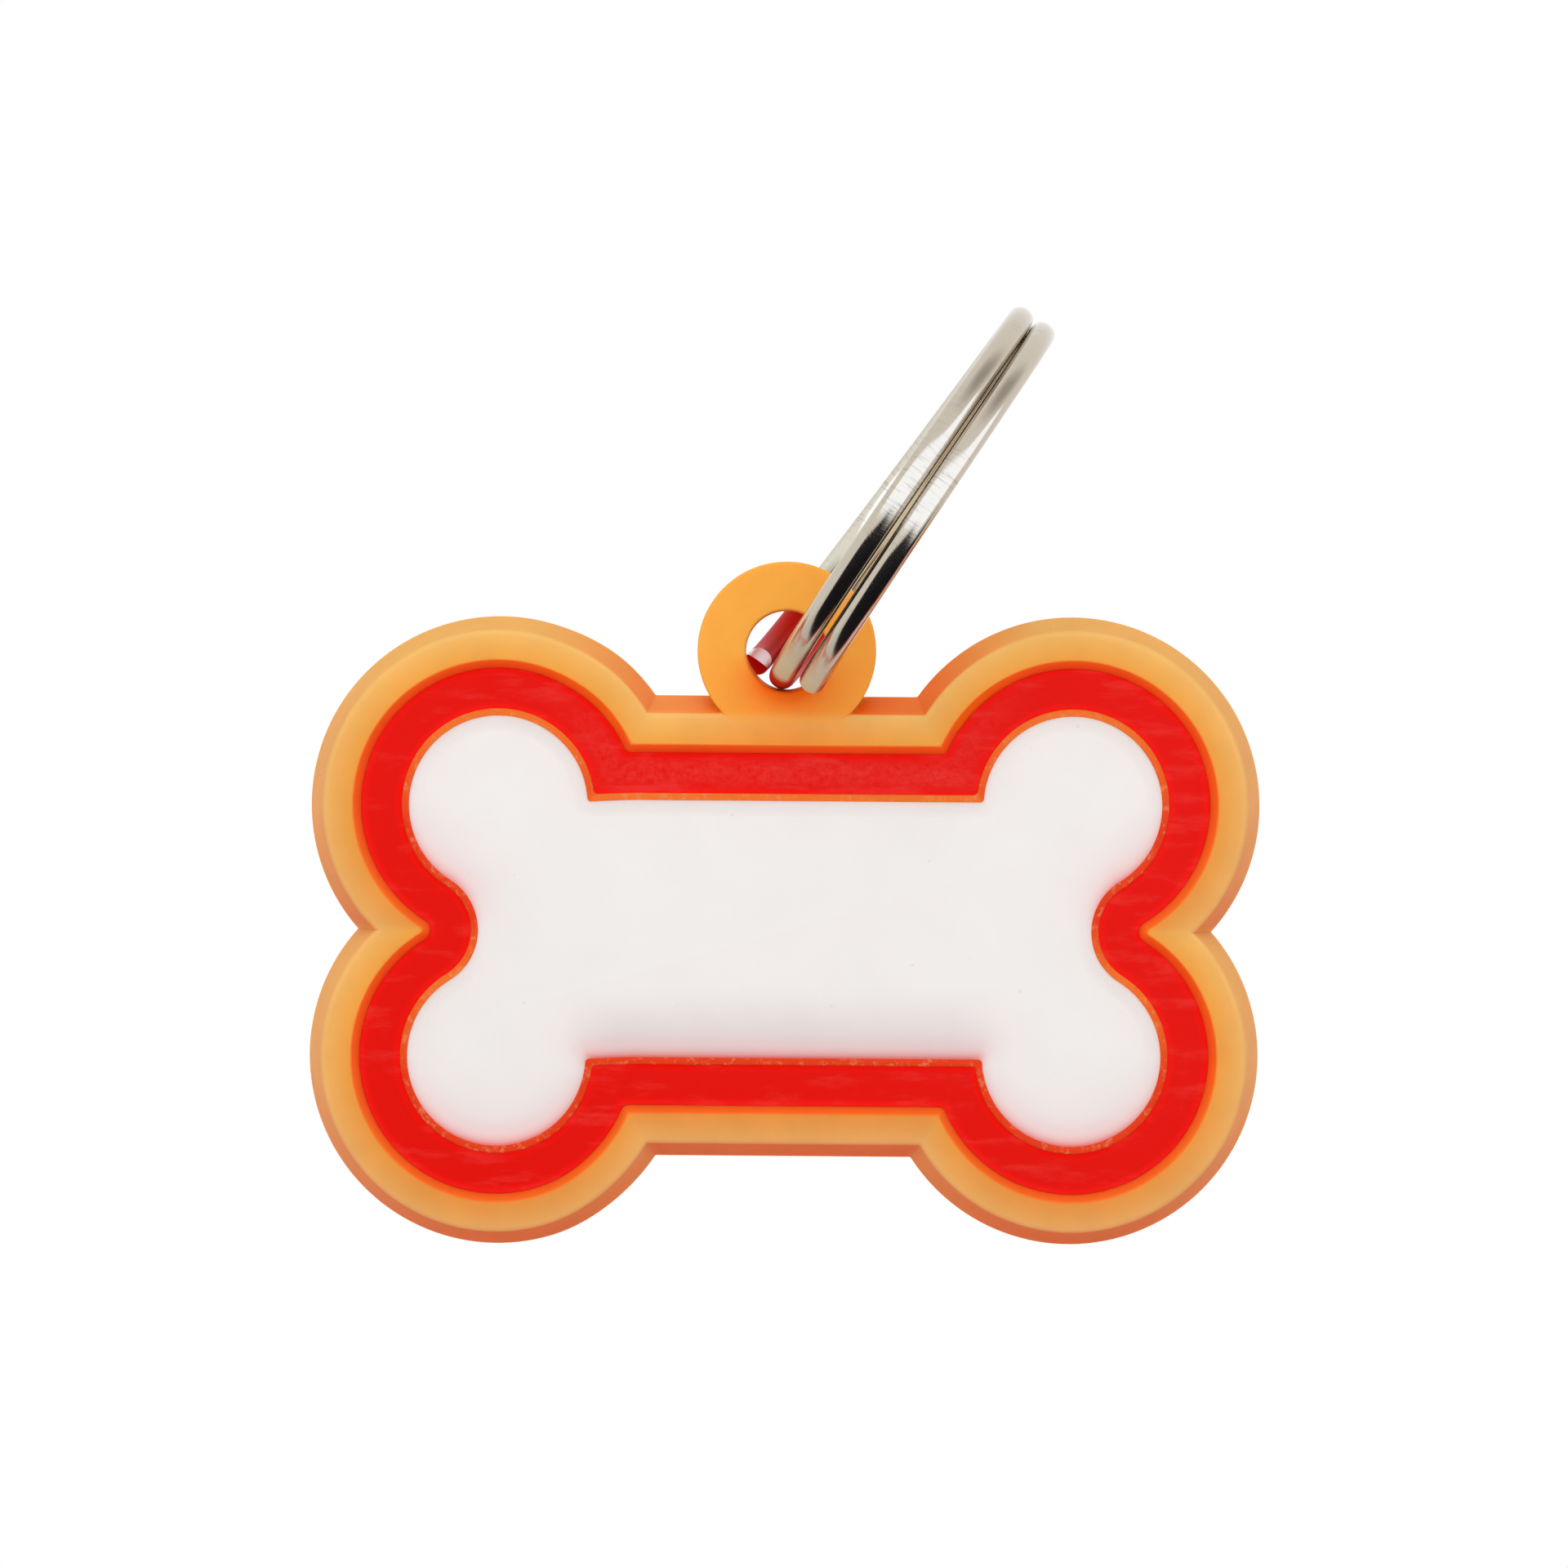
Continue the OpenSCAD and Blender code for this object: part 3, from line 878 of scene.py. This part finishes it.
def nickelPlate():
    # Drawn spring steel, wound and then barrel plated with nickel: a warm grey mirror with fine
    # scuffs across the wire where the turns rub on each other. Painted on it are shade between the
    # turns, a pale reflection on the ends and the tag's red reflected in the hole and behind it
    look = nickelLook
    material, tree, shader = startMaterial("barrelPlatedNickel", {"Metallic": 1.0})
    turn, cut = (addNode(tree, "ShaderNodeAttribute", attribute_name=name).outputs["Fac"]
                 for name in ("turn", "cutEnd"))
    section = addNode(tree, "ShaderNodeAttribute", attribute_name="wireSection")
    split = addNode(tree, "ShaderNodeSeparateXYZ", {0: section.outputs["Vector"]})
    along = addNode(tree, "ShaderNodeMath", {0: turn, 1: math.tau * ringSizes["Coil Radius"]},
                    operation="MULTIPLY")
    laid = addNode(tree, "ShaderNodeCombineXYZ", {0: along.outputs[0], 1: split.outputs[0],
                                                  2: split.outputs[1]})
    value = {"turn": turn, "out": split.outputs[0]}
    for name, stretch, shape in (
            ("scuff", (9, 0.7, 0.7), {"Detail": 5.0, "Roughness": 0.7}),   # fine, across the wire
            ("patch", (0.25, 0.8, 0.8), {"Detail": 2.0})):                 # long, along it
        spread = addNode(tree, "ShaderNodeMapping", {"Vector": laid.outputs[0], "Scale": stretch})
        value[name] = addNode(tree, "ShaderNodeTexNoise", {
            "Vector": spread.outputs[0], "Scale": 1.0, **shape}).outputs["Fac"]
    value["part"] = addNode(tree, "ShaderNodeMath", {0: turn}, operation="FRACT").outputs[0]
    value["side"] = addNode(tree, "ShaderNodeMath", {0: split.outputs[1]},
                            operation="ABSOLUTE").outputs[0]
    value["away"] = value["part"]
    for place in (0.5, 0.5 - look["scuffTurn"]):   # the same on the front and the back half
        value["away"] = addNode(tree, "ShaderNodeMath", {0: value["away"], 1: place},
                                operation="SUBTRACT").outputs[0]
        value["away"] = addNode(tree, "ShaderNodeMath", {0: value["away"]},
                                operation="ABSOLUTE").outputs[0]

    share = {"whole": 1.0, "cut": cut}
    for name, (source, start, end, most) in nickelSpans.items():
        share[name] = addNode(tree, "ShaderNodeMapRange", {
            "Value": value[source], "From Min": start, "From Max": end,
            "To Max": most}).outputs[0]
    # Painted shade between the turns and painted reflections on the ends and of the tag's red,
    # beside the real scuffs
    for name, first, operation, second in (
            ("worn", "worn", "ADD", "zone"), ("scuffed", "worn", "MULTIPLY", "marks"),
            ("between", "inner", "MULTIPLY", "first"), ("paleTips", "paleTips", "MULTIPLY", "flank"),
            ("reflectsRed", "behind", "MULTIPLY", "facing"), ("reflectsRed", "reflectsRed", "MAXIMUM", "last"),
            ("offFlank", "whole", "SUBTRACT", "flank"), ("fringe", "offFlank", "MULTIPLY", "tip"),
            ("fringe", "fringe", "MAXIMUM", "under"), ("red", "reflectsRed", "MAXIMUM", "fringe"),
            ("dull", "paleTips", "MAXIMUM", "red"), ("dull", "dull", "MAXIMUM", "cut"),
            ("plain", "paleTips", "MAXIMUM", "fringe"), ("plain", "plain", "SUBTRACT", "reflectsRed")):
        share[name] = addNode(tree, "ShaderNodeMath", {0: share[first], 1: share[second]},
                              operation=operation).outputs[0]

    base = layerColours(tree, linearColour(look["plating"]), [
        (share[name], linearColour(look[colour])) for name, colour in (
            ("inner", "inside"), ("between", "between"), ("scuffed", "scratch"),
            ("paleTips", "paleTips"), ("red", "redReflection"), ("cut", "cut"))])
    tree.links.new(base, shader.inputs["Base Color"])
    rough = addNode(tree, "ShaderNodeMapRange", {"Value": share["scuffed"],
                                                 "To Min": look["roughness"],
                                                 "To Max": look["roughness"] + 0.2})
    rough = addNode(tree, "ShaderNodeMix", {"Factor": share["dull"], 2: rough.outputs[0], 3: 0.5},
                    data_type="FLOAT")
    tree.links.new(rough.outputs[0], shader.inputs["Roughness"])
    # The pale painted reflection on the ends and the red fringe cover the metal, the painted red
    # reflection of the tag only tints it
    bright = addNode(tree, "ShaderNodeMapRange", {"Value": share["plain"],
                                                  "To Min": 1.0, "To Max": 0.3})
    tree.links.new(bright.outputs[0], shader.inputs["Metallic"])
    height = addNode(tree, "ShaderNodeMath", {0: value["scuff"], 1: share["worn"]},
                     operation="MULTIPLY")
    bump = addNode(tree, "ShaderNodeBump", {"Strength": 0.15, "Distance": 0.04 * mm,
                                            "Height": height.outputs[0]})
    tree.links.new(bump.outputs[0], shader.inputs["Normal"])
    return material


def woundWireTree(material):
    # Spiral with the wire's rounded section swept along it; the cutter pinches both ends to a ridge
    tree = bpy.data.node_groups.new("woundWire", "GeometryNodeTree")
    tree.interface.new_socket("Geometry", in_out="OUTPUT", socket_type="NodeSocketGeometry")
    for name, value in ringSizes.items():
        kind = "NodeSocketInt" if isinstance(value, int) else "NodeSocketFloat"
        tree.interface.new_socket(name, in_out="INPUT", socket_type=kind)
    sizes = addNode(tree, "NodeGroupInput").outputs
    line = addNode(tree, "GeometryNodeCurveSpiral", {
        "Resolution": sizes["Steps Per Turn"], "Rotations": sizes["Turns"], "Height": 0.0,
        "Start Radius": sizes["Coil Radius"], "End Radius": sizes["Coil Radius"], "Reverse": True})
    run = addNode(tree, "GeometryNodeSplineParameter")
    turn = addNode(tree, "ShaderNodeMath", {0: run.outputs["Factor"], 1: sizes["Turns"],
                                            2: sizes["First Turn"]}, operation="MULTIPLY_ADD")
    wave = addNode(tree, "ShaderNodeMath", {0: turn.outputs[0], 1: math.tau}, operation="MULTIPLY")
    wave = addNode(tree, "ShaderNodeMath", {0: wave.outputs[0]}, operation="COSINE")
    pitch = addNode(tree, "ShaderNodeMath", {0: wave.outputs[0], 1: sizes["Pitch Swell"],
                                             2: sizes["Pitch"]}, operation="MULTIPLY_ADD")
    level = addNode(tree, "ShaderNodeMath", {0: turn.outputs[0], 1: 1.0}, operation="SUBTRACT")
    level = addNode(tree, "ShaderNodeMath", {0: level.outputs[0], 1: pitch.outputs[0]},
                    operation="MULTIPLY")
    sprung = addNode(tree, "ShaderNodeMapRange", {
        "Value": turn.outputs[0], "From Min": sizes["Spring From"], "From Max": sizes["Spring To"],
        "To Max": sizes["End Spring"]}, interpolation_type="SMOOTHSTEP")
    spot = addNode(tree, "GeometryNodeInputPosition")
    out = addNode(tree, "ShaderNodeVectorMath", {0: spot.outputs[0]}, operation="NORMALIZE")
    out = addNode(tree, "ShaderNodeVectorMath", {0: out.outputs[0], "Scale": sprung.outputs[0]},
                  operation="SCALE")
    lift = addNode(tree, "ShaderNodeCombineXYZ", {2: level.outputs[0]})
    lift = addNode(tree, "ShaderNodeVectorMath", {0: lift.outputs[0], 1: out.outputs[0]},
                   operation="ADD")
    line = addNode(tree, "GeometryNodeSetPosition", {"Geometry": line.outputs[0],
                                                     "Offset": lift.outputs[0]})
    line = addNode(tree, "GeometryNodeSetCurveNormal", {"Curve": line.outputs[0]}, mode="Z_UP")
    line = addNode(tree, "GeometryNodeStoreNamedAttribute", {
        "Geometry": line.outputs[0], "Name": "turn", "Value": turn.outputs[0]},
        data_type="FLOAT", domain="POINT")
    wire = addNode(tree, "GeometryNodeCurvePrimitiveQuadrilateral", {
        "Width": sizes["Wire Height"], "Height": sizes["Wire Thickness"]}, mode="RECTANGLE")
    wire = addNode(tree, "GeometryNodeFilletCurve", {
        "Curve": wire.outputs[0], "Count": sizes["Corner Points"],
        "Radius": sizes["Corner Radius"]}, mode="POLY")
    spot = addNode(tree, "GeometryNodeInputPosition")
    wire = addNode(tree, "GeometryNodeStoreNamedAttribute", {
        "Geometry": wire.outputs[0], "Name": "wireSection", "Value": spot.outputs[0]},
        data_type="FLOAT_VECTOR", domain="POINT")
    coil = addNode(tree, "GeometryNodeCurveToMesh", {
        "Curve": line.outputs[0], "Profile Curve": wire.outputs[0], "Fill Caps": True})
    area = addNode(tree, "GeometryNodeInputMeshFaceArea")  # only the two ends are over 1 mm2
    isEnd = addNode(tree, "ShaderNodeMath", {0: area.outputs[0], 1: 1.0}, operation="GREATER_THAN")
    cut = addNode(tree, "GeometryNodeExtrudeMesh", {
        "Mesh": coil.outputs[0], "Selection": isEnd.outputs[0],
        "Offset Scale": sizes["End Length"]}, mode="FACES")
    ends = addNode(tree, "FunctionNodeBooleanMath", {0: cut.outputs["Top"], 1: cut.outputs["Side"]},
                   operation="OR")
    spot = addNode(tree, "GeometryNodeInputPosition")
    radial = addNode(tree, "ShaderNodeVectorMath", {0: spot.outputs[0], 1: (1, 1, 0)},
                     operation="MULTIPLY")
    reach = addNode(tree, "ShaderNodeVectorMath", {0: radial.outputs[0]}, operation="LENGTH")
    upper = addNode(tree, "ShaderNodeMath", {0: reach.outputs["Value"], 1: sizes["Coil Radius"]},
                    operation="LESS_THAN")
    bare = addNode(tree, "ShaderNodeMath", {0: ends.outputs[0], 1: upper.outputs[0]},
                   operation="MULTIPLY")
    cutEnd = addNode(tree, "GeometryNodeStoreNamedAttribute", {
        "Geometry": cut.outputs["Mesh"], "Name": "cutEnd", "Value": bare.outputs[0]},
        data_type="FLOAT", domain="FACE")
    shrink = addNode(tree, "GeometryNodeScaleElements", {
        "Geometry": cutEnd.outputs[0], "Selection": cut.outputs["Top"], "Scale": sizes["End Share"],
        "Axis": radial.outputs[0]}, scale_mode="SINGLE_AXIS")
    made = addNode(tree, "GeometryNodeRealizeInstances", {"Geometry": shrink.outputs[0]})
    made = addNode(tree, "GeometryNodeSetMaterial", {"Geometry": made.outputs[0],
                                                     "Material": material})
    addNode(tree, "NodeGroupOutput", {"Geometry": made.outputs[0]})
    return tree


def buildRing():
    material = nickelPlate()
    tree = woundWireTree(material)
    host = newObject("wireHost", bpy.data.meshes.new("wireHost"))
    wound = host.modifiers.new("woundWire", "NODES")
    wound.node_group = tree
    for item in tree.interface.items_tree:
        if item.in_out == "INPUT":
            wound[item.identifier] = ringSizes[item.name]
    seen = host.evaluated_get(bpy.context.evaluated_depsgraph_get())
    mesh = bpy.data.meshes.new_from_object(seen)
    bpy.data.objects.remove(host)
    lean, first = math.radians(ringPose["lean"]), math.tau * ringSizes["First Turn"]
    up = Vector((math.sin(lean), 0, math.cos(lean)))      # along the ring, away from the tag
    axis = Vector((math.cos(lean), 0, -math.sin(lean)))   # towards the front turn
    toward = Vector((0, -1, 0))
    centre = up * (ringPose["farWire"] - ringSizes["Coil Radius"])
    start = -up * math.cos(first) + toward * math.sin(first)
    across = up * math.sin(first) + toward * math.cos(first)
    place = Matrix((start, across, -axis)).transposed().to_4x4()
    place.translation = centre
    return finishPiece("splitRing", mesh, "ring", ["split_ring"], material, place,
                       ringPose["sharpest"])


ringPiece = buildRing()
print("split ring built:", len(ringPiece.data.polygons), "faces")
